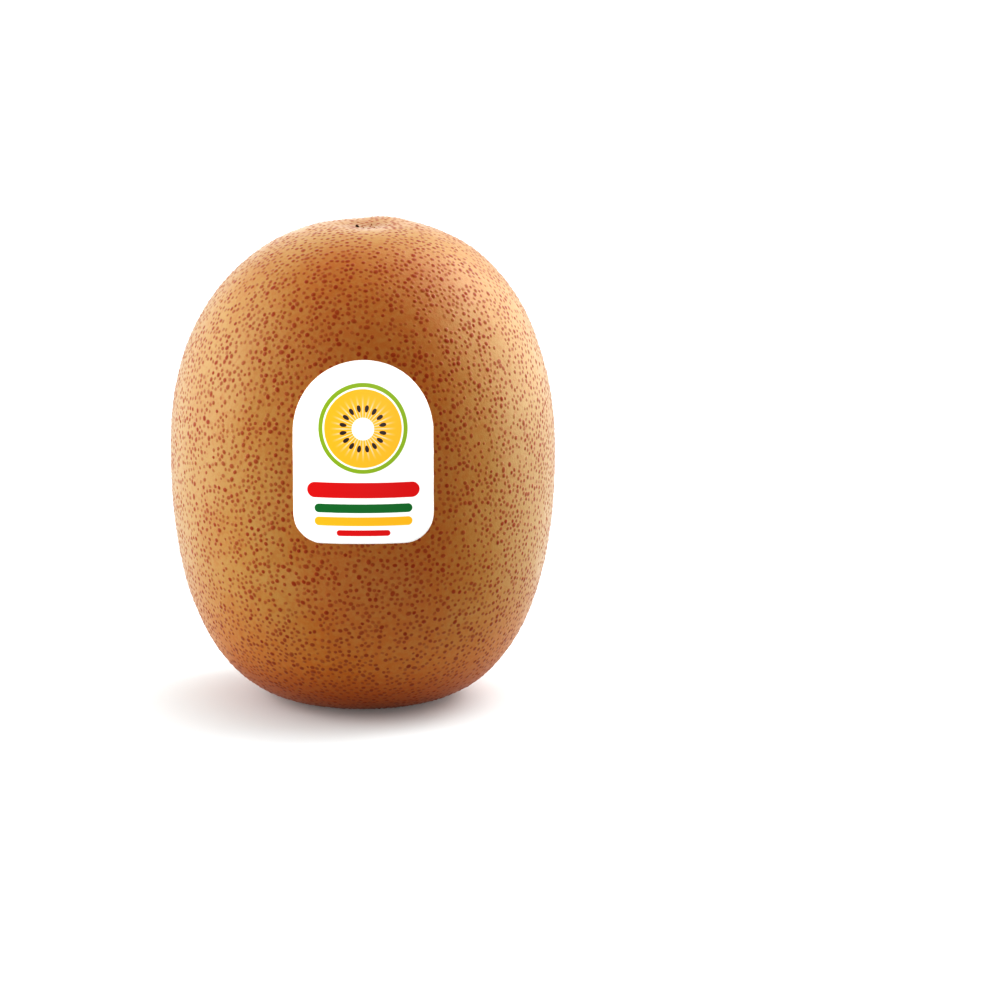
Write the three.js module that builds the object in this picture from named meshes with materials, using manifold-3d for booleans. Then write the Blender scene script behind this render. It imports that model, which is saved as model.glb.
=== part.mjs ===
// A golden kiwi fruit that stands on its stem end, with the small sticker on its front.
// Millimetres, +Z up, the front faces -Y. The origin is the middle of the flat spot that it stands on.

import * as THREE from "three";
import { mergeVertices } from "three/addons/utils/BufferGeometryUtils.js";
import Module from "manifold-3d";

// The fruit's main sizes
const WIDTH = 53; // across X, at the waist
const DEPTH = 50.5; // front to back, because the fruit's section is slightly oval
const HEIGHT = 66.6;
const WAIST_Z = 34.9; // height of the widest ring
const FOOT_RADIUS = 7; // flat spot on the stem end
const CROWN_FLAT = 2; // radius of the flat top of the blossom end
const BASE_POWER = 2.36; // squareness of the lower half: 2 is an ellipse
const CROWN_POWER = 2.15; // squareness of the upper half

// How the grown fruit differs from an even one
const LOBES = [
  { count: 2, size: 0.004, turn: 0.5 },
  { count: 3, size: 0.0055, turn: 1.9 },
  { count: 5, size: 0.003, turn: 0.8 },
];
const CROWN_LEAN = 0.7; // the blossom end leans towards +X
const CROWN_LEAN_DEPTH = 20; // height over which it leans
const BLOSSOM_DIP = { depth: 0.55, radius: 3.6, x: 0, y: 0 };
const BLOSSOM_SWELL = { depth: -0.32, radius: 3.0, x: 2.9, y: 6.2 }; // low swelling behind the dip

// The stem scar, a corky button in a small hollow inside the flat spot: [radius, height above the foot]
const STEM_SCAR = [
  [0, 0.75],
  [0.55, 0.7],
  [0.95, 0.42],
  [1.55, 0.34],
  [2.05, 0.48],
  [2.4, 0.85],
  [2.75, 0.95],
  [3.05, 0.6],
  [3.25, 0.15],
  [3.5, 0],
];

// Dried stubs of the flower's styles, which stand in the dip of the blossom end
const STUBS = [
  // turn and lean in degrees
  { turn: 186, away: 1.3, thick: 0.25, tall: 0.3, lean: 12 },
  { turn: 138, away: 0.8, thick: 0.13, tall: 0.14, lean: 8 },
  { turn: 62, away: 1.4, thick: 0.14, tall: 0.16, lean: 15 },
  { turn: 8, away: 0.5, thick: 0.11, tall: 0.1, lean: 5 },
  { turn: 318, away: 1.5, thick: 0.13, tall: 0.12, lean: 14 },
  { turn: 246, away: 1.0, thick: 0.12, tall: 0.1, lean: 9 },
];
const STUB_SIDES = 5;
const STUB_SUNK = 0.7; // root below the skin

// How finely the skin is faceted
const SIDES = 64;
const BASE_RINGS = 22;
const CROWN_RINGS = 24;

// The sticker: straight sides, a round arch on top and rounded corners below
const LABEL_WIDTH = 19.2; // along the skin
const LABEL_HEIGHT = 24.6; // between the levels of its top and bottom edge
const LABEL_Z = 39.6; // height of its middle
const LABEL_CORNER = 4;
const LABEL_THICKNESS = 0.4;
const LABEL_GAP = 0.12; // film of glue and air under it
const LABEL_RIM_POINTS = 72;
const LABEL_RINGS = 6;
const LABEL_FACES = -Math.PI / 2 + 0.026; // a little to the right of the front, which is -Y

const SKIN_TAN = 0xb57a3c;
const LABEL_WHITE = 0xf4f3ee;

const wasm = await Module();
wasm.setup();

// A closed geometry as a solid that can be joined, without the seams and collapsed faces that a lathe leaves
function solidOf(geometry) {
  const bare = new THREE.BufferGeometry();
  bare.setAttribute("position", geometry.getAttribute("position"));
  if (geometry.index) bare.setIndex(geometry.index);
  const merged = mergeVertices(bare, 1e-3);
  const corners = merged.index.array;
  const kept = [];
  for (let i = 0; i < corners.length; i += 3) {
    const [a, b, c] = corners.slice(i, i + 3);
    if (a !== b && b !== c && c !== a) kept.push(a, b, c);
  }
  return new wasm.Manifold(
    new wasm.Mesh({
      numProp: 3,
      vertProperties: merged.getAttribute("position").array,
      triVerts: new Uint32Array(kept),
    }),
  );
}

function geometryOf(solid) {
  const mesh = solid.getMesh();
  const geometry = new THREE.BufferGeometry();
  geometry.setAttribute("position", new THREE.BufferAttribute(mesh.vertProperties, 3));
  geometry.setIndex(new THREE.BufferAttribute(mesh.triVerts, 1));
  geometry.computeVertexNormals();
  return geometry;
}

// Radius of the even fruit at a height: two superellipses that meet at the waist
function radiusAt(z) {
  const low = z < WAIST_Z;
  const flat = low ? FOOT_RADIUS : CROWN_FLAT;
  const power = low ? BASE_POWER : CROWN_POWER;
  const reach = low ? (WAIST_Z - z) / WAIST_Z : (z - WAIST_Z) / (HEIGHT - WAIST_Z);
  const curve = Math.max(0, 1 - Math.min(1, reach) ** power) ** (1 / power);
  return flat + (WIDTH / 2 - flat) * curve;
}

// Moves a point of the even fruit to where it lies on the grown one. The foot stays flat and round.
function grown(angle, radius, z) {
  const free = Math.sin((Math.PI * Math.min(z, HEIGHT)) / HEIGHT);
  let swell = 1;
  for (const lobe of LOBES) swell += free * lobe.size * Math.cos(lobe.count * angle - lobe.turn);
  const lean = CROWN_LEAN * THREE.MathUtils.smoothstep(z, HEIGHT - CROWN_LEAN_DEPTH, HEIGHT);
  const x = radius * swell * Math.cos(angle);
  const y = radius * swell * Math.sin(angle) * (DEPTH / WIDTH);
  let level = z;
  for (const mark of z > WAIST_Z ? [BLOSSOM_DIP, BLOSSOM_SWELL] : []) {
    const away = Math.hypot(x - mark.x, y - mark.y) / mark.radius;
    level -= mark.depth * Math.exp(-away * away);
  }
  return new THREE.Vector3(x + lean, y, level);
}

// Heights of the rings of one half, closer together where the skin curves over to its flat end
function ringHeights(count, power, end) {
  const heights = [];
  for (let i = 1; i <= count; i++) {
    const turn = (Math.PI / 2) * (i / count);
    heights.push(WAIST_Z + (end - WAIST_Z) * Math.sin(turn) ** (2 / power));
  }
  return heights;
}

// The fruit's outline from the middle of the stem scar, over the waist, to the middle of the blossom end
function fruitProfile() {
  const below = ringHeights(BASE_RINGS, BASE_POWER, 0).reverse();
  const above = ringHeights(CROWN_RINGS, CROWN_POWER, HEIGHT);
  const points = STEM_SCAR.map(([r, z]) => new THREE.Vector2(r, z));
  for (const z of [...below, WAIST_Z, ...above]) points.push(new THREE.Vector2(radiusAt(z), z));
  points.push(new THREE.Vector2(CROWN_FLAT / 2, HEIGHT), new THREE.Vector2(0, HEIGHT));
  return points;
}

function fruitBody() {
  const geometry = new THREE.LatheGeometry(fruitProfile(), SIDES).rotateX(Math.PI / 2);
  const place = geometry.getAttribute("position");
  for (let i = 0; i < place.count; i++) {
    const [x, y, z] = [place.getX(i), place.getY(i), place.getZ(i)];
    place.setXYZ(i, ...grown(Math.atan2(y, x), Math.hypot(x, y), z));
  }
  return solidOf(geometry);
}

// The stubs stand in a loose ring with a few inside it, and lean outwards
function styleStubs() {
  return STUBS.map(({ turn, away, thick, tall, lean }) => {
    const angle = THREE.MathUtils.degToRad(turn);
    const stub = new THREE.CylinderGeometry(0.6 * thick, thick, tall + STUB_SUNK, STUB_SIDES);
    stub.rotateX(Math.PI / 2).translate(0, 0, (tall - STUB_SUNK) / 2);
    stub.rotateY(THREE.MathUtils.degToRad(lean)).rotateZ(angle);
    const root = grown(angle, away, HEIGHT);
    return solidOf(stub.translate(root.x, root.y, root.z));
  });
}

function fruit() {
  const grownTogether = wasm.Manifold.union([fruitBody(), ...styleStubs()]);
  const skin = new THREE.MeshStandardMaterial({ color: SKIN_TAN, roughness: 0.55, metalness: 0 });
  const mesh = new THREE.Mesh(geometryOf(grownTogether), skin);
  mesh.name = "fruit";
  return mesh;
}

// The sticker's outline, laid flat, with its middle at the origin
function labelOutline() {
  const half = LABEL_WIDTH / 2;
  const top = LABEL_HEIGHT / 2;
  const corner = LABEL_CORNER;
  const outline = new THREE.Path();
  outline.moveTo(half, 0);
  outline.absarc(0, top - half, half, 0, Math.PI);
  outline.absarc(corner - half, corner - top, corner, Math.PI, 1.5 * Math.PI);
  outline.absarc(half - corner, corner - top, corner, 1.5 * Math.PI, 2 * Math.PI);
  outline.lineTo(half, 0);
  return outline.getSpacedPoints(LABEL_RIM_POINTS).slice(0, LABEL_RIM_POINTS);
}

// A point of the sticker, measured across and up from its middle, at a distance above the skin
function onSkin(across, up, above) {
  const z = LABEL_Z + up;
  const at = (turn, level) => grown(LABEL_FACES + turn, radiusAt(level), level);
  const turn = across / radiusAt(z);
  const place = at(turn, z);
  const along = at(turn + 0.01, z).sub(place);
  const rise = at(turn, z + 0.1).sub(place);
  return place.add(along.cross(rise).normalize().multiplyScalar(above));
}

// A disc of rings is drawn out to the sticker's outline and laid on the skin
function label() {
  const rim = labelOutline();
  const inside = LABEL_GAP;
  const outside = LABEL_GAP + LABEL_THICKNESS;
  const ring = (i) => i / LABEL_RINGS;
  const profile = [];
  for (let i = 0; i <= LABEL_RINGS; i++) profile.push(new THREE.Vector2(ring(i), inside));
  for (let i = LABEL_RINGS; i >= 0; i--) profile.push(new THREE.Vector2(ring(i), outside));
  const geometry = new THREE.LatheGeometry(profile, LABEL_RIM_POINTS);
  const place = geometry.getAttribute("position");
  for (let i = 0; i < place.count; i++) {
    const side = Math.floor(i / profile.length) % LABEL_RIM_POINTS;
    const { x: share, y: above } = profile[i % profile.length];
    place.setXYZ(i, ...onSkin(rim[side].x * share, rim[side].y * share, above));
  }
  const paper = new THREE.MeshStandardMaterial({ color: LABEL_WHITE, roughness: 0.35, metalness: 0 });
  const mesh = new THREE.Mesh(geometryOf(solidOf(geometry)), paper);
  mesh.name = "label";
  return mesh;
}

const kiwi = new THREE.Group();
kiwi.add(fruit(), label());
export default kiwi;
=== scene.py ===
"""A golden kiwi fruit that stands on its stem end, with a small sticker on its front.

Metres, +Z up, the front faces -Y. The form repeats the solid's own sizes, so each piece lies where the solid
does.
"""

import math

import bmesh
import bpy
import numpy as np
from mathutils import Matrix, Vector, noise


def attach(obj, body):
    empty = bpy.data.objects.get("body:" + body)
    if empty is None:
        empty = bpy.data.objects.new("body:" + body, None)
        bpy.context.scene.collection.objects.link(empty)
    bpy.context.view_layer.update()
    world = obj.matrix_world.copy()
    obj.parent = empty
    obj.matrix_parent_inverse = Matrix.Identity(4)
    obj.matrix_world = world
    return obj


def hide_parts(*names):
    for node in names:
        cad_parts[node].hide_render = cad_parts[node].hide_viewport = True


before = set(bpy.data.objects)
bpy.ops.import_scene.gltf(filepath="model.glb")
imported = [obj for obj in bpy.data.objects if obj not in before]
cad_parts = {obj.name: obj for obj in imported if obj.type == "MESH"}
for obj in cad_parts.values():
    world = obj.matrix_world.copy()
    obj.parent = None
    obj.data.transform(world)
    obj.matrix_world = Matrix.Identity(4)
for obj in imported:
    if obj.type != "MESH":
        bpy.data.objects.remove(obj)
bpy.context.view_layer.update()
MM = 0.001


# Camera
# A long lens looks down on the fruit from a little above, as the photograph does. The picture's middle
# lies to the right of the fruit and a little below its waist, so the fruit stands left of the middle.
PHOTO_SIDE = 1000  # pixels
WAIST_PIXEL = (362.8, 448.4)  # where the middle of the fruit's waist is seen
FRUIT_PIXELS = 382  # how wide the fruit is seen
FRUIT_WIDTH = 53 * MM
WAIST_Z = 34.9 * MM
CAMERA_RISE = math.radians(13)
CAMERA_AWAY = 0.75
SENSOR = 36
CLIP_NEAR, CLIP_FAR = 0.01, 20


def place_camera():
    per_pixel = FRUIT_WIDTH / FRUIT_PIXELS
    forward = Vector((0, math.cos(CAMERA_RISE), -math.sin(CAMERA_RISE)))
    up = Vector((0, math.sin(CAMERA_RISE), math.cos(CAMERA_RISE)))
    right = Vector((1, 0, 0))
    across = (PHOTO_SIDE / 2 - WAIST_PIXEL[0]) * per_pixel
    down = (PHOTO_SIDE / 2 - WAIST_PIXEL[1]) * per_pixel
    target = Vector((0, 0, WAIST_Z)) + right * across - up * down
    data = bpy.data.cameras.new("camera")
    data.sensor_width = SENSOR
    data.lens = SENSOR * CAMERA_AWAY / (PHOTO_SIDE * per_pixel)
    data.clip_start, data.clip_end = CLIP_NEAR, CLIP_FAR
    camera = bpy.data.objects.new("camera", data)
    turn = Matrix((right, up, -forward)).transposed()
    camera.matrix_world = Matrix.Translation(target - forward * CAMERA_AWAY) @ turn.to_4x4()
    bpy.context.scene.collection.objects.link(camera)
    bpy.context.scene.camera = camera


place_camera()


# Skin
# A kiwi fruit grows as one body. The gold kind is barrel shaped with a blunt stem end, and its thin skin is
# smooth, golden tan and nearly hairless. The stem scar is a corky button in a hollow of the end it stands on.
DEPTH_SHARE = 50.5 / 53  # the section is slightly oval
HEIGHT = 66.6 * MM
FOOT_RADIUS = 7 * MM
CROWN_FLAT = 2 * MM
BASE_POWER = 2.36
CROWN_POWER = 2.15
LOBES = ((2, 0.004, 0.5), (3, 0.0055, 1.9), (5, 0.003, 0.8))  # count, size, turn
CROWN_LEAN = 0.7 * MM
CROWN_LEAN_DEPTH = 20 * MM
BLOSSOM_DIP = (0.55 * MM, 3.6 * MM, 0, 0)  # depth, radius, x, y
BLOSSOM_SWELL = (-0.32 * MM, 3.0 * MM, 2.9 * MM, 6.2 * MM)
STEM_SCAR = (  # radius and height above the foot, in millimetres
    (0, 0.75), (0.55, 0.7), (0.95, 0.42), (1.55, 0.34), (2.05, 0.48),
    (2.4, 0.85), (2.75, 0.95), (3.05, 0.6), (3.25, 0.15), (3.5, 0),
)
CORK_RADIUS = 2.5 * MM
SKIN_SIDES = 320
BASE_RINGS, CROWN_RINGS = 118, 128
SCAR_RINGS, FOOT_RINGS, CROWN_FLAT_RINGS = 28, 6, 8
SKIN_SWELLS = ((160, 0.06 * MM), (520, 0.022 * MM))  # waves a metre, height: the skin isn't quite even
SWELL_FROM, SWELL_FADE = 0.3 * MM, 4 * MM  # where the swells begin above the foot, and how far they fade in


def radius_at(z):
    """Radius of the even fruit at each height: two superellipses that meet at the waist."""
    low = z < WAIST_Z
    flat = np.where(low, FOOT_RADIUS, CROWN_FLAT)
    power = np.where(low, BASE_POWER, CROWN_POWER)
    reach = np.where(low, (WAIST_Z - z) / WAIST_Z, (z - WAIST_Z) / (HEIGHT - WAIST_Z))
    curve = np.maximum(0, 1 - np.minimum(1, reach) ** power) ** (1 / power)
    return flat + (FRUIT_WIDTH / 2 - flat) * curve


def grown(angle, radius, z):
    """Places of the even fruit's points on the grown one, as x, y, z. The foot stays flat and round."""
    free = np.sin(math.pi * np.minimum(z, HEIGHT) / HEIGHT)
    swell = 1 + sum(free * size * np.cos(count * angle - turn) for count, size, turn in LOBES)
    share = np.clip((z - HEIGHT + CROWN_LEAN_DEPTH) / CROWN_LEAN_DEPTH, 0, 1)
    lean = CROWN_LEAN * share * share * (3 - 2 * share)
    x = radius * swell * np.cos(angle)
    y = radius * swell * np.sin(angle) * DEPTH_SHARE
    level = z + 0 * x
    for depth, reach, mark_x, mark_y in (BLOSSOM_DIP, BLOSSOM_SWELL):
        away = np.hypot(x - mark_x, y - mark_y) / reach
        level = level - np.where(z > WAIST_Z, depth * np.exp(-away * away), 0)
    return np.stack([x + lean, y + 0 * z, level], axis=-1)


def skin_profile():
    """Radius and height of each ring, from the middle of the stem scar to the middle of the blossom end."""
    scar_r, scar_z = np.array(STEM_SCAR).T * MM
    scar = np.linspace(0, scar_r[-1], SCAR_RINGS)
    eased = np.interp(scar, scar_r, scar_z)
    eased[1:-1] = (eased[:-2] + 2 * eased[1:-1] + eased[2:]) / 4
    foot = np.linspace(scar_r[-1], FOOT_RADIUS, FOOT_RINGS + 1)[1:-1]
    turn = np.linspace(0, math.pi / 2, BASE_RINGS + 1)[::-1]
    below = WAIST_Z * (1 - np.sin(turn) ** (2 / BASE_POWER))
    turn = np.linspace(0, math.pi / 2, CROWN_RINGS + 1)[1:]
    above = WAIST_Z + (HEIGHT - WAIST_Z) * np.sin(turn) ** (2 / CROWN_POWER)
    side = np.concatenate([below, above])
    crown = np.linspace(CROWN_FLAT, 0, CROWN_FLAT_RINGS + 1)[1:]
    radii = np.concatenate([scar, foot, radius_at(side), crown])
    heights = np.concatenate([eased, 0 * foot, side, HEIGHT + 0 * crown])
    return radii, heights


def mesh_object(name, points, faces):
    mesh = bpy.data.meshes.new(name)
    mesh.from_pydata([tuple(p) for p in points], [], faces)
    mesh.update()
    mesh.polygons.foreach_set("use_smooth", [True] * len(mesh.polygons))
    piece = bpy.data.objects.new(name, mesh)
    bpy.context.scene.collection.objects.link(piece)
    return piece


def store(piece, name, values):
    """Keeps one number for each vertex, which a material or a node tree reads by name."""
    attribute = piece.data.attributes.new(name, "FLOAT", "POINT")
    attribute.data.foreach_set("value", np.asarray(values, np.float32))


def make_skin():
    radii, heights = skin_profile()
    angles = np.linspace(0, 2 * math.pi, SKIN_SIDES, endpoint=False)
    rings = grown(angles[None, :], radii[1:-1, None], heights[1:-1, None])
    poles = [grown(np.zeros(1), radii[[i]], heights[[i]])[0] for i in (0, -1)]
    points = np.concatenate([rings.reshape(-1, 3), poles])
    low_pole, high_pole = len(points) - 2, len(points) - 1
    n, sides = len(radii) - 2, SKIN_SIDES
    faces = []
    for i in range(sides):
        j = (i + 1) % sides
        faces.append((low_pole, j, i))
        for r in range(n - 1):
            a, b = r * sides, (r + 1) * sides
            faces.append((a + i, a + j, b + j, b + i))
        faces.append(((n - 1) * sides + i, (n - 1) * sides + j, high_pole))
    skin = mesh_object("skin", points, faces)
    normals = np.zeros(len(points) * 3)
    skin.data.vertices.foreach_get("normal", normals)
    free = np.clip((points[:, 2] - SWELL_FROM) / SWELL_FADE, 0, 1)
    rise = np.zeros(len(points))
    for waves, tall in SKIN_SWELLS:
        rise += tall * np.array([noise.noise(Vector(p) * waves) for p in points])
    points = points + normals.reshape(-1, 3) * (rise * free)[:, None]
    skin.data.vertices.foreach_set("co", points.ravel())
    skin.data.update()
    return skin, points


skin, skin_points = make_skin()

# The skin's colours: a golden tan, creamier at both flanks as painted sheen and paler to the right as painted
# highlight, redder down the front as painted shade and low down partly as painted shade, deeper at the back
# as painted shade and brown at both ends, with red-brown spots
TAN = (0.49, 0.225, 0.026)
TAN_PALE = (0.53, 0.295, 0.072)
# painted sheen: the cream laid on both flanks
PAINTED_SHEEN_CREAM = (0.53, 0.375, 0.175)
RUSSET = (0.49, 0.122, 0.003)
# painted shade: the deeper tan laid on the back
BACK_SHADE_TAN = (0.27, 0.140, 0.032)
BLOSSOM_BROWN = (0.27, 0.105, 0.028)
BLOSSOM_TIP = (CROWN_LEAN, 0, HEIGHT - 0.5 * MM)
SPOT_BROWN = (0.34, 0.046, 0.003)
# painted shade: the darker spot colour at the back and low down
SPOT_SHADED = (0.17, 0.036, 0.005)
STEM_BROWN = (0.28, 0.045, 0.002)
CORK = (0.26, 0.15, 0.075)
CORK_DARK = (0.12, 0.065, 0.035)
SKIN_GLOSS = 0.5
SPOT_GLOSS = 0.2  # the spots and the low end are duller
SKIN_ROUGHNESS = 0.46
BLOOM = 0.55  # a thin waxy bloom pales the skin where it turns away, less towards the low end
BLOOM_ROUGHNESS = 0.35

# Noise that varies the skin: waves a metre, detail, roughness
PATCHES = (75, 3, 0.55)
MOTTLE = (420, 4, 0.6)
FLECKS = (1500, 3, 0.6)
GRAIN = (2300, 4, 0.62)
GRAIN_STRENGTH, GRAIN_HEIGHT = 0.3, 0.12 * MM

# Zones of the skin: where each begins, where it is full and, if it is less than 1, its largest share
PALE_PATCHES = (0.36, 0.68)
PALE_FLECKS = (0.44, 0.64, 0.25)
RED_MOTTLE = (0.46, 0.74, 0.14)
RED_FLECKS = (0.52, 0.36, 0.25)
# painted highlight: the skin is paler towards the right
PAINTED_LIGHT_RIGHT = (12 * MM, 25 * MM)  # towards the right
# painted sheen: creamier towards both sides
PAINTED_SHEEN_FLANKS = (16 * MM, 27 * MM, 0.7)  # towards both sides
# the low end: redder partly as painted shade, with darker spots, duller and with less bloom
LOW_END = (24 * MM, 2 * MM, 0.85)
# painted shade: a redder band down the middle of the front
MIDDLE_X = 2.5 * MM
MIDDLE_BAND = (17 * MM, 5 * MM)  # beside the middle of the front
MIDDLE_FRONT = (-4 * MM, -14 * MM)
MIDDLE_SHADE_SHARE = 0.66
# painted shade on the back
BACK_SHADE = (4 * MM, 20 * MM, 0.7)
BLOSSOM_END = (4.4 * MM, 1.2 * MM, 0.4)
STEM_END = (10 * MM, 1 * MM, 0.7)
SPOT_CORE = (0.0, 0.5)
# painted shade deepens the spots at the low end by this much
LOW_SPOT_SHADE = 0.7  # how much the spots deepen with the low end
CORK_MOTTLE = (0.35, 0.7)
CORK_EDGE = 0.3 * MM
SCAR_TOP = 1.2 * MM  # the foot and the stem scar lie below this


def link(tree, output, socket):
    tree.links.new(output, socket)


def node(tree, kind, settings=None, **inputs):
    """Adds a node. An input is named by its socket, with _ for a space, or by i and the socket's number."""
    made = tree.nodes.new(kind)
    for key, value in (settings or {}).items():
        setattr(made, key, value)
    for key, value in inputs.items():
        numbered = key[0] == "i" and key[1:].isdigit()
        socket = made.inputs[int(key[1:]) if numbered else key.replace("_", " ")]
        if isinstance(value, bpy.types.NodeSocket):
            link(tree, value, socket)
        else:
            socket.default_value = value
    return made


def mixed(tree, share, a, b):
    """One colour over another by a share from 0 to 1."""
    made = tree.nodes.new("ShaderNodeMix")
    made.data_type = "RGBA"
    for index, value in ((0, share), (6, a), (7, b)):
        if isinstance(value, bpy.types.NodeSocket):
            link(tree, value, made.inputs[index])
        else:
            made.inputs[index].default_value = (*value, 1) if index else value
    return made.outputs[2]


def maths(tree, operation, a, b=0.0, c=None):
    made = tree.nodes.new("ShaderNodeMath")
    made.operation = operation
    for index, value in enumerate((a, b) if c is None else (a, b, c)):
        if isinstance(value, bpy.types.NodeSocket):
            link(tree, value, made.inputs[index])
        else:
            made.inputs[index].default_value = value
    return made.outputs[0]


def ramp(tree, value, low, high):
    """0 below low and 1 above high, or the other way round if low is the larger."""
    made = tree.nodes.new("ShaderNodeMapRange")
    made.interpolation_type = "SMOOTHSTEP"
    flip = low > high
    link(tree, value, made.inputs[0])
    made.inputs[1].default_value, made.inputs[2].default_value = (high, low) if flip else (low, high)
    made.inputs[3].default_value, made.inputs[4].default_value = (1, 0) if flip else (0, 1)
    return made.outputs[0]


def attribute(tree, name):
    return node(tree, "ShaderNodeAttribute", {"attribute_name": name}).outputs["Fac"]


def zone(tree, value, start, full, share):
    """A zone that begins at one value and is full at another, by a share of at most 1."""
    return maths(tree, "MULTIPLY", ramp(tree, value, start, full), share)


def noise_map(tree, place, waves, detail, roughness):
    made = node(tree, "ShaderNodeTexNoise", Vector=place, Scale=waves, Detail=detail, Roughness=roughness)
    return made.outputs["Fac"]


def empty_material(name):
    made = bpy.data.materials.new(name)
    made.use_nodes = True
    made.node_tree.nodes.clear()
    return made, made.node_tree


def skin_material():
    """One finish for the skin and for the raised spots on it, so that a spot's rim melts into the skin."""
    made, tree = empty_material("kiwi_skin")
    place = node(tree, "ShaderNodeTexCoord").outputs["Object"]
    patches = noise_map(tree, place, *PATCHES)
    mottle = noise_map(tree, place, *MOTTLE)
    flecks = noise_map(tree, place, *FLECKS)
    x, y, z = node(tree, "ShaderNodeSeparateXYZ", Vector=place).outputs

    # pale patches, a painted highlight paler towards the right, painted sheen creamier at both flanks, a
    # red-brown low end that is partly painted shade, painted shade down the middle of the front, and fine
    # flecks of both
    pale_patches_and_painted_light = maths(tree, "MAXIMUM", ramp(tree, patches, *PALE_PATCHES), ramp(tree, x, *PAINTED_LIGHT_RIGHT))
    colour = mixed(tree, pale_patches_and_painted_light, TAN, TAN_PALE)
    colour = mixed(tree, zone(tree, maths(tree, "ABSOLUTE", x), *PAINTED_SHEEN_FLANKS), colour, PAINTED_SHEEN_CREAM)
    colour = mixed(tree, zone(tree, mottle, *RED_MOTTLE), colour, RUSSET)
    low = zone(tree, z, *LOW_END)
    beside = maths(tree, "ABSOLUTE", maths(tree, "SUBTRACT", x, MIDDLE_X))
    middle = maths(tree, "MULTIPLY", ramp(tree, beside, *MIDDLE_BAND), ramp(tree, y, *MIDDLE_FRONT))
    # painted shade down the middle of the front, and a redder low end that is partly painted shade
    russet_and_painted_shade = maths(tree, "MAXIMUM", low, maths(tree, "MULTIPLY", middle, MIDDLE_SHADE_SHARE))
    colour = mixed(tree, russet_and_painted_shade, colour, RUSSET)
    colour = mixed(tree, zone(tree, flecks, *PALE_FLECKS), colour, TAN_PALE)
    colour = mixed(tree, zone(tree, flecks, *RED_FLECKS), colour, RUSSET)

    # painted shade, deeper at the back, and brown at both ends
    painted_shade_back = zone(tree, y, *BACK_SHADE)
    colour = mixed(tree, painted_shade_back, colour, BACK_SHADE_TAN)
    from_tip = node(tree, "ShaderNodeVectorMath", {"operation": "DISTANCE"}, i0=place, i1=BLOSSOM_TIP)
    colour = mixed(tree, zone(tree, from_tip.outputs["Value"], *BLOSSOM_END), colour, BLOSSOM_BROWN)
    colour = mixed(tree, zone(tree, z, *STEM_END), colour, STEM_BROWN)

    # raised spots: dark in the middle of each, by how strong it is, and darker still with painted shade at
    # the back and low down
    core = ramp(tree, attribute(tree, "core"), *SPOT_CORE)
    spot = maths(tree, "MULTIPLY", core, attribute(tree, "strength"))
    spot_shade = maths(tree, "MAXIMUM", painted_shade_back, maths(tree, "MULTIPLY", low, LOW_SPOT_SHADE))
    colour = mixed(tree, spot, colour, mixed(tree, spot_shade, SPOT_BROWN, SPOT_SHADED))

    # corky stem scar
    cork_colour = mixed(tree, ramp(tree, mottle, *CORK_MOTTLE), CORK, CORK_DARK)
    colour = mixed(tree, attribute(tree, "cork"), colour, cork_colour)

    bump = node(tree, "ShaderNodeBump", Strength=GRAIN_STRENGTH, Distance=GRAIN_HEIGHT,
                Height=noise_map(tree, place, *GRAIN))
    dull = maths(tree, "MAXIMUM", spot, low)
    shader = node(tree, "ShaderNodeBsdfPrincipled", Base_Color=colour, Normal=bump.outputs["Normal"],
                  Specular_IOR_Level=maths(tree, "MULTIPLY_ADD", dull, SPOT_GLOSS - SKIN_GLOSS, SKIN_GLOSS),
                  Sheen_Weight=maths(tree, "MULTIPLY_ADD", low, -BLOOM, BLOOM),
                  Sheen_Roughness=BLOOM_ROUGHNESS, Roughness=SKIN_ROUGHNESS)
    node(tree, "ShaderNodeOutputMaterial", Surface=shader.outputs["BSDF"])
    return made


kiwi_skin = skin_material()
skin.data.materials.append(kiwi_skin)
flat_away = np.hypot(skin_points[:, 0], skin_points[:, 1])
at_foot = skin_points[:, 2] < SCAR_TOP
store(skin, "cork", at_foot * np.clip((CORK_RADIUS - flat_away) / CORK_EDGE + 0.5, 0, 1))
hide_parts("fruit")
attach(skin, "root")


# Sticker
# A thin printed film is pressed on the front: straight sides, a round arch on top, rounded corners below.
# It lies on a skin that curves both ways, so its edge puckers a little. The print is plain shapes only.
LABEL_WIDTH = 19.2 * MM
LABEL_HEIGHT = 24.6 * MM
LABEL_Z = 39.6 * MM
LABEL_CORNER = 4 * MM
LABEL_GAP = 0.05 * MM  # the film is thinner than its solid and lies closer to the skin
LABEL_THICKNESS = 0.12 * MM
LABEL_RIM_POINTS = 160
LABEL_RINGS = 26
LABEL_RING_EASE = 0.8  # below 1, the rings lie closer together towards the rim
ARCH_POINTS, CORNER_POINTS = 60, 20
PUCKERS = 17
PUCKER_HEIGHT = 0.10 * MM
PUCKER_REACH = 14  # the higher it is, the nearer the rim the puckers stay
STEP_ROUND, STEP_UP = 0.01, 0.1 * MM  # small steps round and up the skin, which give its slope
LABEL_FACES = -math.pi / 2 + 0.026  # a little to the right of the front


def arc(x, y, radius, start, end, count):
    turns = np.linspace(start, end, count)
    return np.stack([x + radius * np.cos(turns), y + radius * np.sin(turns)], axis=-1)


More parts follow.
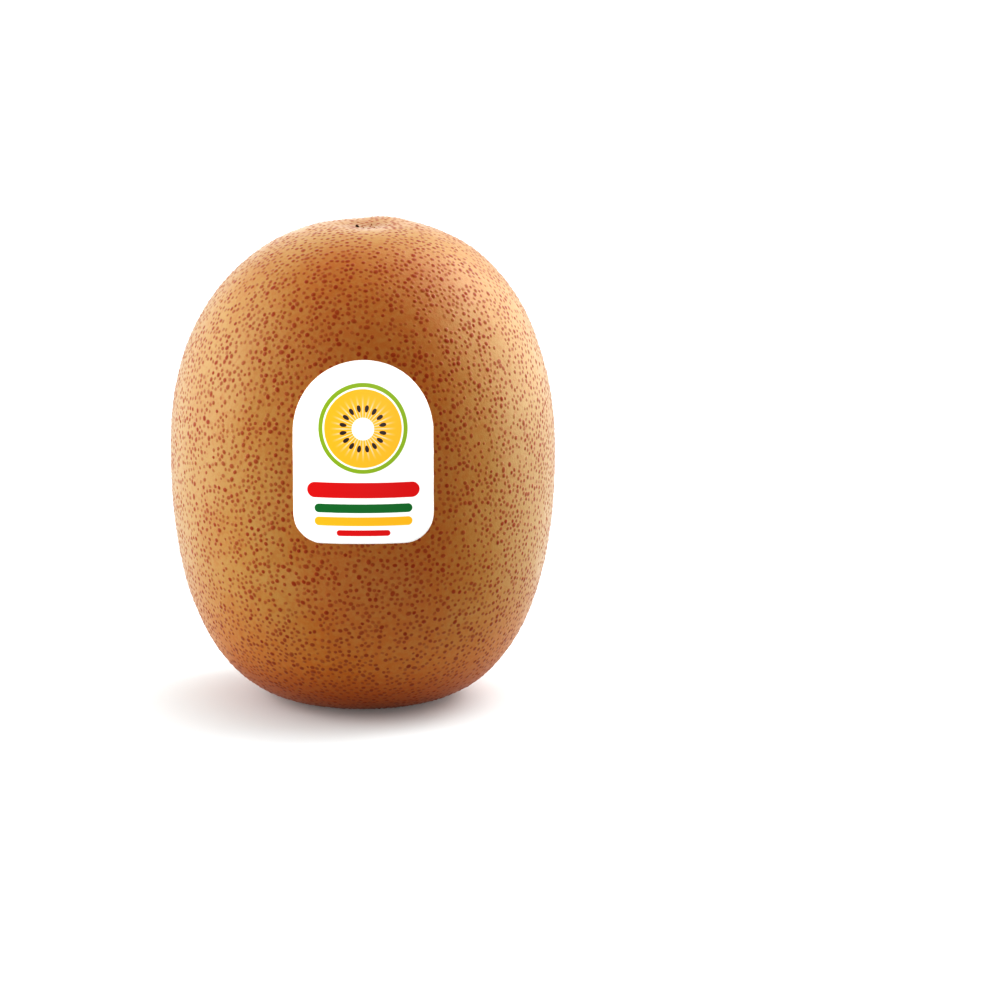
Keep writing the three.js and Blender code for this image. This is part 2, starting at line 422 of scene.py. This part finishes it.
def label_outline():
    """The rim, laid flat, in points an even way apart."""
    half, top, corner = LABEL_WIDTH / 2, LABEL_HEIGHT / 2, LABEL_CORNER
    rough = np.concatenate([
        [[half, 0]],
        arc(0, top - half, half, 0, math.pi, ARCH_POINTS),
        arc(corner - half, corner - top, corner, math.pi, 1.5 * math.pi, CORNER_POINTS),
        arc(half - corner, corner - top, corner, 1.5 * math.pi, 2 * math.pi, CORNER_POINTS),
        [[half, 0]],
    ])
    along = np.concatenate([[0], np.cumsum(np.linalg.norm(np.diff(rough, axis=0), axis=1))])
    even = np.linspace(0, along[-1], LABEL_RIM_POINTS, endpoint=False)
    return np.stack([np.interp(even, along, rough[:, k]) for k in (0, 1)], axis=-1)


def on_skin(across, up, above):
    """Points measured across and up from the sticker's middle, at a distance above the skin."""
    z = LABEL_Z + up
    turn = across / radius_at(z)

    def at(t, level):
        return grown(LABEL_FACES + t, radius_at(level), level)

    place = at(turn, z)
    out = np.cross(at(turn + STEP_ROUND, z) - place, at(turn, z + STEP_UP) - place)
    out /= np.linalg.norm(out, axis=-1, keepdims=True)
    return place + out * np.asarray(above)[..., None]


def make_label():
    rim = label_outline()
    share = np.linspace(0, 1, LABEL_RINGS + 1)[1:] ** LABEL_RING_EASE
    flat = np.concatenate([[[0, 0]], (rim[None] * share[:, None, None]).reshape(-1, 2)])
    turns = 2 * math.pi * np.arange(LABEL_RIM_POINTS) / LABEL_RIM_POINTS
    wave = np.maximum(0, np.cos(PUCKERS * turns + 2 * np.sin(3 * turns))) ** 3
    wave = wave * (0.5 + 0.5 * np.sin(2 * turns + 1))
    lift = np.concatenate([[0], (share[:, None] ** PUCKER_REACH * wave[None]).ravel()]) * PUCKER_HEIGHT
    count = len(flat)
    under = on_skin(flat[:, 0], flat[:, 1], LABEL_GAP + lift)
    over = on_skin(flat[:, 0], flat[:, 1], LABEL_GAP + LABEL_THICKNESS + lift)
    n = LABEL_RIM_POINTS
    faces = []
    for i in range(n):
        j = (i + 1) % n
        faces.append((count, count + 1 + i, count + 1 + j))
        faces.append((0, 1 + j, 1 + i))
        for r in range(LABEL_RINGS - 1):
            a, b = 1 + r * n, 1 + (r + 1) * n
            faces.append((count + a + i, count + b + i, count + b + j, count + a + j))
            faces.append((a + j, b + j, b + i, a + i))
        edge = 1 + (LABEL_RINGS - 1) * n
        faces.append((edge + i, edge + j, count + edge + j, count + edge + i))
    piece = mesh_object("sticker", np.concatenate([under, over]), faces)
    both = np.concatenate([flat, flat]) / MM
    layer = piece.data.uv_layers.new(name="print")
    corners = np.zeros(len(piece.data.loops), int)
    piece.data.loops.foreach_get("vertex_index", corners)
    layer.data.foreach_set("uv", both[corners].ravel())
    return piece


PAPER = (0.90, 0.89, 0.87)
INK_AMBER = (0.92, 0.45, 0.016)
INK_RED = (0.60, 0.003, 0.004)
INK_GREEN = (0.006, 0.15, 0.028)
INK_LIME = (0.26, 0.40, 0.015)
INK_DARK = (0.025, 0.014, 0.010)
PAPER_ROUGHNESS = 0.45
PAPER_GLOSS = 0.25
FIBRE = (9, 3, 0.6)  # waves a millimetre, detail, roughness
FIBRE_STRENGTH, FIBRE_HEIGHT = 0.12, 0.03 * MM

# The print, in millimetres from the sticker's middle: a round motif over plain bars
PRINT_EDGE = 0.05  # soft edge of the ink
MOTIF_X, MOTIF_Y, MOTIF_RADIUS = 0.0, 3.4, 6.0
MOTIF_RING, MOTIF_GAP = 0.55, 0.8  # how far in from the radius the green ring ends and the disc begins
MOTIF_CORE = 1.5
RAY_WIDTH = (0.2, 0.9)  # of the wave that makes the rays
RAY_REACH = (4.6, 2.4)  # where the rays end and where they are full
RAY_SHARE = 0.45
OVALS = 16
OVAL_RING = 2.7
OVAL_HALF_WIDTH = 0.26
OVAL_SQUEEZE = 0.55  # width over length
BARS = (
    # middle x and y, half length, half thickness, ink
    (0, -4.9, 7.6, 1.05, INK_RED),
    (0, -7.4, 6.6, 0.60, INK_GREEN),
    (0, -9.2, 6.6, 0.60, INK_AMBER),
    (0, -10.8, 3.6, 0.40, INK_RED),
)


def length(tree, a, b):
    squares = maths(tree, "MULTIPLY", a, a), maths(tree, "MULTIPLY", b, b)
    return maths(tree, "SQRT", maths(tree, "ADD", *squares))


def label_material():
    made, tree = empty_material("sticker_print")
    flat = node(tree, "ShaderNodeUVMap", {"uv_map": "print"}).outputs["UV"]
    u, v = node(tree, "ShaderNodeSeparateXYZ", Vector=flat).outputs[:2]

    def inside(distance, edge):
        """1 where a distance is below an edge."""
        return ramp(tree, maths(tree, "SUBTRACT", distance, edge), PRINT_EDGE / 2, -PRINT_EDGE / 2)

    def bar(x, y, half, thick):
        """A plain bar with round ends."""
        along = maths(tree, "ABSOLUTE", maths(tree, "SUBTRACT", u, x))
        along = maths(tree, "MAXIMUM", maths(tree, "SUBTRACT", along, half - thick), 0.0)
        return inside(length(tree, along, maths(tree, "SUBTRACT", v, y)), thick)

    # the motif: a green ring, and an amber disc with pale rays and a pale core
    across, up = maths(tree, "SUBTRACT", u, MOTIF_X), maths(tree, "SUBTRACT", v, MOTIF_Y)
    away = length(tree, across, up)
    turn = maths(tree, "ARCTAN2", up, across)
    colour = mixed(tree, inside(away, MOTIF_RADIUS), PAPER, INK_LIME)
    colour = mixed(tree, inside(away, MOTIF_RADIUS - MOTIF_RING), colour, PAPER)
    colour = mixed(tree, inside(away, MOTIF_RADIUS - MOTIF_GAP), colour, INK_AMBER)
    rays = maths(tree, "COSINE", maths(tree, "MULTIPLY", turn, float(2 * OVALS)))
    rays = maths(tree, "MULTIPLY", ramp(tree, rays, *RAY_WIDTH), ramp(tree, away, *RAY_REACH))
    colour = mixed(tree, maths(tree, "MULTIPLY", rays, RAY_SHARE), colour, PAPER)
    colour = mixed(tree, inside(away, MOTIF_CORE), colour, PAPER)

    # a ring of small dark ovals, one in each sector
    sector = 2 * math.pi / OVALS
    swing = maths(tree, "DIVIDE", maths(tree, "ADD", turn, math.pi), sector)
    swing = maths(tree, "SUBTRACT", maths(tree, "FRACT", swing), 0.5)
    swing = maths(tree, "MULTIPLY", swing, sector * OVAL_RING)
    reach = maths(tree, "MULTIPLY", maths(tree, "SUBTRACT", away, OVAL_RING), OVAL_SQUEEZE)
    colour = mixed(tree, inside(length(tree, swing, reach), OVAL_HALF_WIDTH), colour, INK_DARK)

    for x, y, half, thick, ink in BARS:
        colour = mixed(tree, bar(x, y, half, thick), colour, ink)
    bump = node(tree, "ShaderNodeBump", Strength=FIBRE_STRENGTH, Distance=FIBRE_HEIGHT,
                Height=noise_map(tree, flat, *FIBRE))
    shader = node(tree, "ShaderNodeBsdfPrincipled", Base_Color=colour, Normal=bump.outputs["Normal"],
                  Roughness=PAPER_ROUGHNESS, Specular_IOR_Level=PAPER_GLOSS)
    node(tree, "ShaderNodeOutputMaterial", Surface=shader.outputs["BSDF"])
    return made


sticker = make_label()
sticker.data.materials.append(label_material())
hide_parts("label")
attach(sticker, "root")


# Raised spots
# The skin's breathing pores heal over with cork, so the fruit is covered in small red-brown bumps that keep
# an even way apart. About one in five is strong: larger, darker and taller.
SPOT_RINGS = ((1.0, -0.06), (0.62, 0.42), (0.3, 0.86))  # radius and height, as shares
SPOT_SPACING = 0.63 * MM
SPOT_DENSITY = 4.0e6  # places tried for each square metre
SPOT_SEED = 12
SPOT_STRETCH = (0.85, 1.35)  # length over width, from and to
SPOT_TALLNESS = (0.6, 1.2)  # share of the height, from and to
CROWD_WAVES = 260  # waves a metre of how crowded the spots are
CROWD_USUAL, CROWD_SWING, CROWD_LEAST = 0.95, 0.5, 0.6
LABEL_COVER = 0.3 * MM  # how far the spots reach in under the sticker's edge
SPOT_KINDS = (
    # name, sides, part of the draw from and to, radius from and to, height, strength from and to
    ("spots_weak_a", 6, 0.0, 0.4, 0.29 * MM, 0.41 * MM, 0.060 * MM, 0.45, 0.85),
    ("spots_weak_b", 6, 0.4, 0.8, 0.29 * MM, 0.41 * MM, 0.060 * MM, 0.45, 0.85),
    ("spots_strong", 8, 0.8, 1.0, 0.34 * MM, 0.46 * MM, 0.080 * MM, 0.75, 1.0),
)


def spot_form(sides):
    """A low bell, one across and one high, with how near each point is to its middle."""
    points, core, faces = [], [], []
    for radius, tall in SPOT_RINGS:
        for i in range(sides):
            turn = 2 * math.pi * i / sides
            points.append((radius * math.cos(turn), radius * math.sin(turn), tall))
            core.append(1 - radius)
    points.append((0, 0, 1))
    core.append(1)
    for r in range(len(SPOT_RINGS) - 1):
        for i in range(sides):
            j = (i + 1) % sides
            faces.append((r * sides + i, r * sides + j, (r + 1) * sides + j, (r + 1) * sides + i))
    last = (len(SPOT_RINGS) - 1) * sides
    faces += [(last + i, last + (i + 1) % sides, len(points) - 1) for i in range(sides)]
    form = mesh_object("spot_form", points, faces)
    store(form, "core", core)
    return form


def spot_tree():
    """Scatters copies of a form over a surface, each turned to it and of its own size and strength."""
    tree = bpy.data.node_groups.new("scatter_spots", "GeometryNodeTree")
    inputs = (
        ("Geometry", "Geometry"), ("Form", "Object"), ("Spacing", "Float"), ("Density", "Float"),
        ("Seed", "Int"), ("Draw from", "Float"), ("Draw to", "Float"), ("Radius from", "Float"),
        ("Radius to", "Float"), ("Height", "Float"), ("Strength from", "Float"), ("Strength to", "Float"),
        ("Finish", "Material"),
    )
    for name, kind in inputs:
        tree.interface.new_socket(name, in_out="INPUT", socket_type="NodeSocket" + kind)
    tree.interface.new_socket("Geometry", in_out="OUTPUT", socket_type="NodeSocketGeometry")
    given = tree.nodes.new("NodeGroupInput").outputs
    room = node(tree, "GeometryNodeInputNamedAttribute", {"data_type": "FLOAT"}, Name="room")
    points = node(tree, "GeometryNodeDistributePointsOnFaces", {"distribute_method": "POISSON"},
                  Mesh=given["Geometry"], Distance_Min=given["Spacing"], Density_Max=given["Density"],
                  Density_Factor=room.outputs["Attribute"], Seed=given["Seed"])

    def drawn(low, high, seed):
        made = node(tree, "FunctionNodeRandomValue", {"data_type": "FLOAT"}, i2=low, i3=high, i8=seed)
        return made.outputs[1]

    wide = drawn(given["Radius from"], given["Radius to"], 1)
    longer = maths(tree, "MULTIPLY", wide, drawn(*SPOT_STRETCH, 2))
    tall = maths(tree, "MULTIPLY", given["Height"], drawn(*SPOT_TALLNESS, 3))
    size = node(tree, "ShaderNodeCombineXYZ", X=wide, Y=longer, Z=tall).outputs[0]
    spin = node(tree, "FunctionNodeAxisAngleToRotation", Axis=(0, 0, 1), Angle=drawn(0.0, 2 * math.pi, 4))
    turned = node(tree, "FunctionNodeRotateRotation", {"rotation_space": "LOCAL"},
                  Rotation=points.outputs["Rotation"], Rotate_By=spin.outputs["Rotation"])
    form = node(tree, "GeometryNodeObjectInfo", Object=given["Form"])
    lot = drawn(0.0, 1.0, 6)
    chosen = maths(tree, "MULTIPLY", maths(tree, "GREATER_THAN", lot, given["Draw from"]),
                   maths(tree, "LESS_THAN", lot, given["Draw to"]))
    copies = node(tree, "GeometryNodeInstanceOnPoints", Points=points.outputs["Points"], Selection=chosen,
                  Instance=form.outputs["Geometry"], Rotation=turned.outputs["Rotation"], Scale=size)
    marked = node(tree, "GeometryNodeStoreNamedAttribute", {"data_type": "FLOAT", "domain": "INSTANCE"},
                  Geometry=copies.outputs["Instances"], Name="strength",
                  Value=drawn(given["Strength from"], given["Strength to"], 5))
    real = node(tree, "GeometryNodeRealizeInstances", Geometry=marked.outputs["Geometry"])
    finished = node(tree, "GeometryNodeSetMaterial", Geometry=real.outputs["Geometry"],
                    Material=given["Finish"])
    node(tree, "NodeGroupOutput", Geometry=finished.outputs["Geometry"])
    return tree


def grow(name, host, tree, values):
    """Runs a node tree on a host's mesh and keeps the result as a plain mesh of its own."""
    modifier = host.modifiers.new(name, "NODES")
    modifier.node_group = tree
    sockets = {s.name: s.identifier for s in tree.interface.items_tree if s.in_out == "INPUT"}
    for key, value in values.items():
        modifier[sockets[key]] = value
    made = bpy.data.meshes.new_from_object(host.evaluated_get(bpy.context.evaluated_depsgraph_get()))
    host.modifiers.remove(modifier)
    made.name = name
    piece = bpy.data.objects.new(name, made)
    bpy.context.scene.collection.objects.link(piece)
    return piece


def room_for_spots():
    """How crowded the spots are, up to 1, and 0 on the foot, on the stem scar and under the sticker."""
    x, y, z = skin_points.T
    turn = np.arctan2(y, x) - LABEL_FACES
    turn = (turn + math.pi) % (2 * math.pi) - math.pi
    across, up = turn * radius_at(z), z - LABEL_Z
    half, top = LABEL_WIDTH / 2 - LABEL_COVER, LABEL_HEIGHT / 2 - LABEL_COVER
    arch = np.hypot(across, np.maximum(0, up - (top - half))) < half
    covered = arch & (up > -top) & (np.abs(across) < half)
    crowd = np.array([noise.noise(Vector(p) * CROWD_WAVES) for p in skin_points])
    bare = covered | (at_foot & (flat_away < FOOT_RADIUS))
    return np.where(bare, 0.0, np.clip(CROWD_USUAL + CROWD_SWING * crowd, CROWD_LEAST, 1))


store(skin, "room", room_for_spots())
scatter = spot_tree()
for name, sides, lot_low, lot_high, small, large, tall, weak, strong in SPOT_KINDS:
    form = spot_form(sides)
    spots = grow(name, skin, scatter, {
        "Form": form, "Spacing": SPOT_SPACING, "Density": SPOT_DENSITY, "Seed": SPOT_SEED,
        "Draw from": lot_low, "Draw to": lot_high, "Radius from": small, "Radius to": large,
        "Height": tall, "Strength from": weak, "Strength to": strong, "Finish": kiwi_skin,
    })
    bpy.data.objects.remove(form)
    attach(spots, "root")


# Style stubs
# The flower's styles dry and break off on the blossom end. Their stubs stand in its shallow dip.
STUBS = (
    # turn in degrees, away, thick, tall, lean in degrees, how dark
    (186, 1.3 * MM, 0.25 * MM, 0.30 * MM, 12, 1.0),
    (138, 0.8 * MM, 0.13 * MM, 0.14 * MM, 8, 0.25),
    (62, 1.4 * MM, 0.14 * MM, 0.16 * MM, 15, 0.2),
    (8, 0.5 * MM, 0.11 * MM, 0.10 * MM, 5, 0.2),
    (318, 1.5 * MM, 0.13 * MM, 0.12 * MM, 14, 0.15),
    (246, 1.0 * MM, 0.12 * MM, 0.10 * MM, 9, 0.25),
)
STUB_SUNK = 0.7 * MM
STUB_SIDES = 12
STUB_LEVELS = ((0.0, 1.05), (0.35, 0.8), (0.8, 0.66), (1.0, 0.4))  # shares of the height and of the thickness
DRY_BROWN = (0.42, 0.20, 0.075)
DRY_DARK = (0.035, 0.018, 0.010)
DRY_GRAIN = (2600, 3, 0.6)  # waves a metre, detail, roughness
DRY_SPREAD = (0.2, 0.6)
DRY_STRENGTH, DRY_HEIGHT = 0.5, 0.05 * MM
DRY_ROUGHNESS = 0.8


def make_stubs():
    points, faces, dark = [], [], []
    for i, (turn, away, thick, tall, lean, darkness) in enumerate(STUBS):
        angle = math.radians(turn)
        root = grown(np.array(angle), np.array(away), np.array(HEIGHT))
        tilt = Matrix.Rotation(angle, 3, "Z") @ Matrix.Rotation(math.radians(lean), 3, "Y")
        first = len(points)
        levels = [(-STUB_SUNK, 1.0)] + [(share * tall, width) for share, width in STUB_LEVELS]
        for k, (level, width) in enumerate(levels):
            for s in range(STUB_SIDES):
                a = 2 * math.pi * s / STUB_SIDES + 0.3 * k
                ragged = thick * width * (1 + 0.16 * math.sin(3 * a + i) + 0.1 * math.sin(7 * a + 2 * i + k))
                rim = Vector((ragged * math.cos(a), ragged * math.sin(a), level))
                points.append(Vector(root) + tilt @ rim)
                dark.append(darkness)
        for k in range(len(levels) - 1):
            for s in range(STUB_SIDES):
                t = (s + 1) % STUB_SIDES
                a, b = first + k * STUB_SIDES, first + (k + 1) * STUB_SIDES
                faces.append((a + s, a + t, b + t, b + s))
        top = first + (len(levels) - 1) * STUB_SIDES
        faces.append(tuple(range(top, top + STUB_SIDES)))
        faces.append(tuple(range(first + STUB_SIDES - 1, first - 1, -1)))
    piece = mesh_object("style_stubs", points, faces)
    store(piece, "dark", dark)
    return piece


def stub_material():
    made, tree = empty_material("dried_style")
    place = node(tree, "ShaderNodeTexCoord").outputs["Object"]
    dry = noise_map(tree, place, *DRY_GRAIN)
    share = maths(tree, "MULTIPLY", ramp(tree, dry, *DRY_SPREAD), attribute(tree, "dark"))
    colour = mixed(tree, share, DRY_BROWN, DRY_DARK)
    bump = node(tree, "ShaderNodeBump", Strength=DRY_STRENGTH, Distance=DRY_HEIGHT, Height=dry)
    shader = node(tree, "ShaderNodeBsdfPrincipled", Base_Color=colour, Normal=bump.outputs["Normal"],
                  Roughness=DRY_ROUGHNESS)
    node(tree, "ShaderNodeOutputMaterial", Surface=shader.outputs["BSDF"])
    return made


stubs = make_stubs()
stubs.data.materials.append(stub_material())
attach(stubs, "root")


# Studio
# A white table fades into a white background. Large soft lights stand to both sides, more of them behind
# than in front, so that the fruit is bright at both edges and darker down the middle. One more lights the
# sticker alone.
FLOOR_RADIUS = 0.9
FLOOR_SIDES = 96
FLOOR_WHITE = (0.85, 0.905, 0.925, 1)
FLOOR_CLEAR = 0.05 * MM
FLOOR_FADE = (18 * MM, 54 * MM)  # where the table fades into the white all round it
FLOOR_GLOW = 0.08  # share of the white that shows through even under the fruit
ROOM = 0.35  # light from all round
WALLS = (("Y", 1, 0.20), ("X", -1, 0.29), ("Z", -1, 0.16))  # more light from the back, the left and below
WALL_FROM, WALL_FULL = -0.1, 0.8
LIGHTS = (
    # name, place, width, height, watts
    ("left", (-0.48, 0.02, 0.18), 0.30, 0.50, 1.08),
    ("left_front", (-0.44, -0.24, 0.20), 0.30, 0.50, 0.30),
    ("left_back", (-0.36, 0.34, 0.20), 0.30, 0.50, 0.23),
    ("right", (0.46, 0.10, 0.20), 0.30, 0.50, 1.22),
    ("right_back", (0.34, 0.36, 0.22), 0.30, 0.50, 0.63),
    ("right_high", (0.30, 0.18, 0.40), 0.30, 0.40, 1.12),
    ("sticker_only", (0.06, -0.50, 0.14), 0.20, 0.20, 0.95),
)


def make_studio():
    bm = bmesh.new()
    bmesh.ops.create_circle(bm, cap_ends=True, segments=FLOOR_SIDES, radius=FLOOR_RADIUS)
    mesh = bpy.data.meshes.new("floor")
    bm.to_mesh(mesh)
    bm.free()
    floor = bpy.data.objects.new("floor", mesh)
    floor.location.z = -FLOOR_CLEAR
    bpy.context.scene.collection.objects.link(floor)
    made, tree = empty_material("white_table")
    place = node(tree, "ShaderNodeTexCoord").outputs["Object"]
    away = node(tree, "ShaderNodeVectorMath", {"operation": "LENGTH"}, i0=place).outputs["Value"]
    white = node(tree, "ShaderNodeBsdfDiffuse", Color=FLOOR_WHITE)
    clear = node(tree, "ShaderNodeBsdfTransparent")
    fade = maths(tree, "MULTIPLY_ADD", ramp(tree, away, *FLOOR_FADE), 1 - FLOOR_GLOW, FLOOR_GLOW)
    faded = node(tree, "ShaderNodeMixShader", i0=fade, i1=white.outputs[0], i2=clear.outputs[0])
    node(tree, "ShaderNodeOutputMaterial", Surface=faded.outputs[0])
    mesh.materials.append(made)
    for name, place, wide, tall, watts in LIGHTS:
        data = bpy.data.lights.new(name, "AREA")
        data.shape, data.size, data.size_y, data.energy = "RECTANGLE", wide, tall, watts
        lamp = bpy.data.objects.new(name, data)
        lamp.location = place
        lamp.rotation_euler = (Vector((0, 0, WAIST_Z)) - Vector(place)).to_track_quat("-Z", "Y").to_euler()
        bpy.context.scene.collection.objects.link(lamp)
        if name == "sticker_only":
            lit = bpy.data.collections.new("lit_by_" + name)
            lit.objects.link(sticker)
            lamp.light_linking.receiver_collection = lit
    world = bpy.data.worlds.new("studio")
    bpy.context.scene.world = world
    world.use_nodes = True
    tree = world.node_tree
    tree.nodes.clear()
    around = node(tree, "ShaderNodeTexCoord").outputs["Generated"]
    towards = node(tree, "ShaderNodeSeparateXYZ", Vector=around).outputs
    strength = ROOM
    for axis, side, amount in WALLS:
        wall = ramp(tree, towards[axis], WALL_FROM * side, WALL_FULL * side)
        strength = maths(tree, "MULTIPLY_ADD", wall, amount, strength)
    # plain white to the camera, and dimmer as a light
    seen = node(tree, "ShaderNodeLightPath").outputs["Is Camera Ray"]
    strength = node(tree, "ShaderNodeMix", i0=seen, i2=strength, i3=1.0).outputs[0]
    back = node(tree, "ShaderNodeBackground", Color=(1, 1, 1, 1), Strength=strength)
    node(tree, "ShaderNodeOutputWorld", Surface=back.outputs[0])
    bpy.context.scene.view_settings.view_transform = "Standard"
    bpy.context.scene.view_settings.look = "High Contrast"


make_studio()
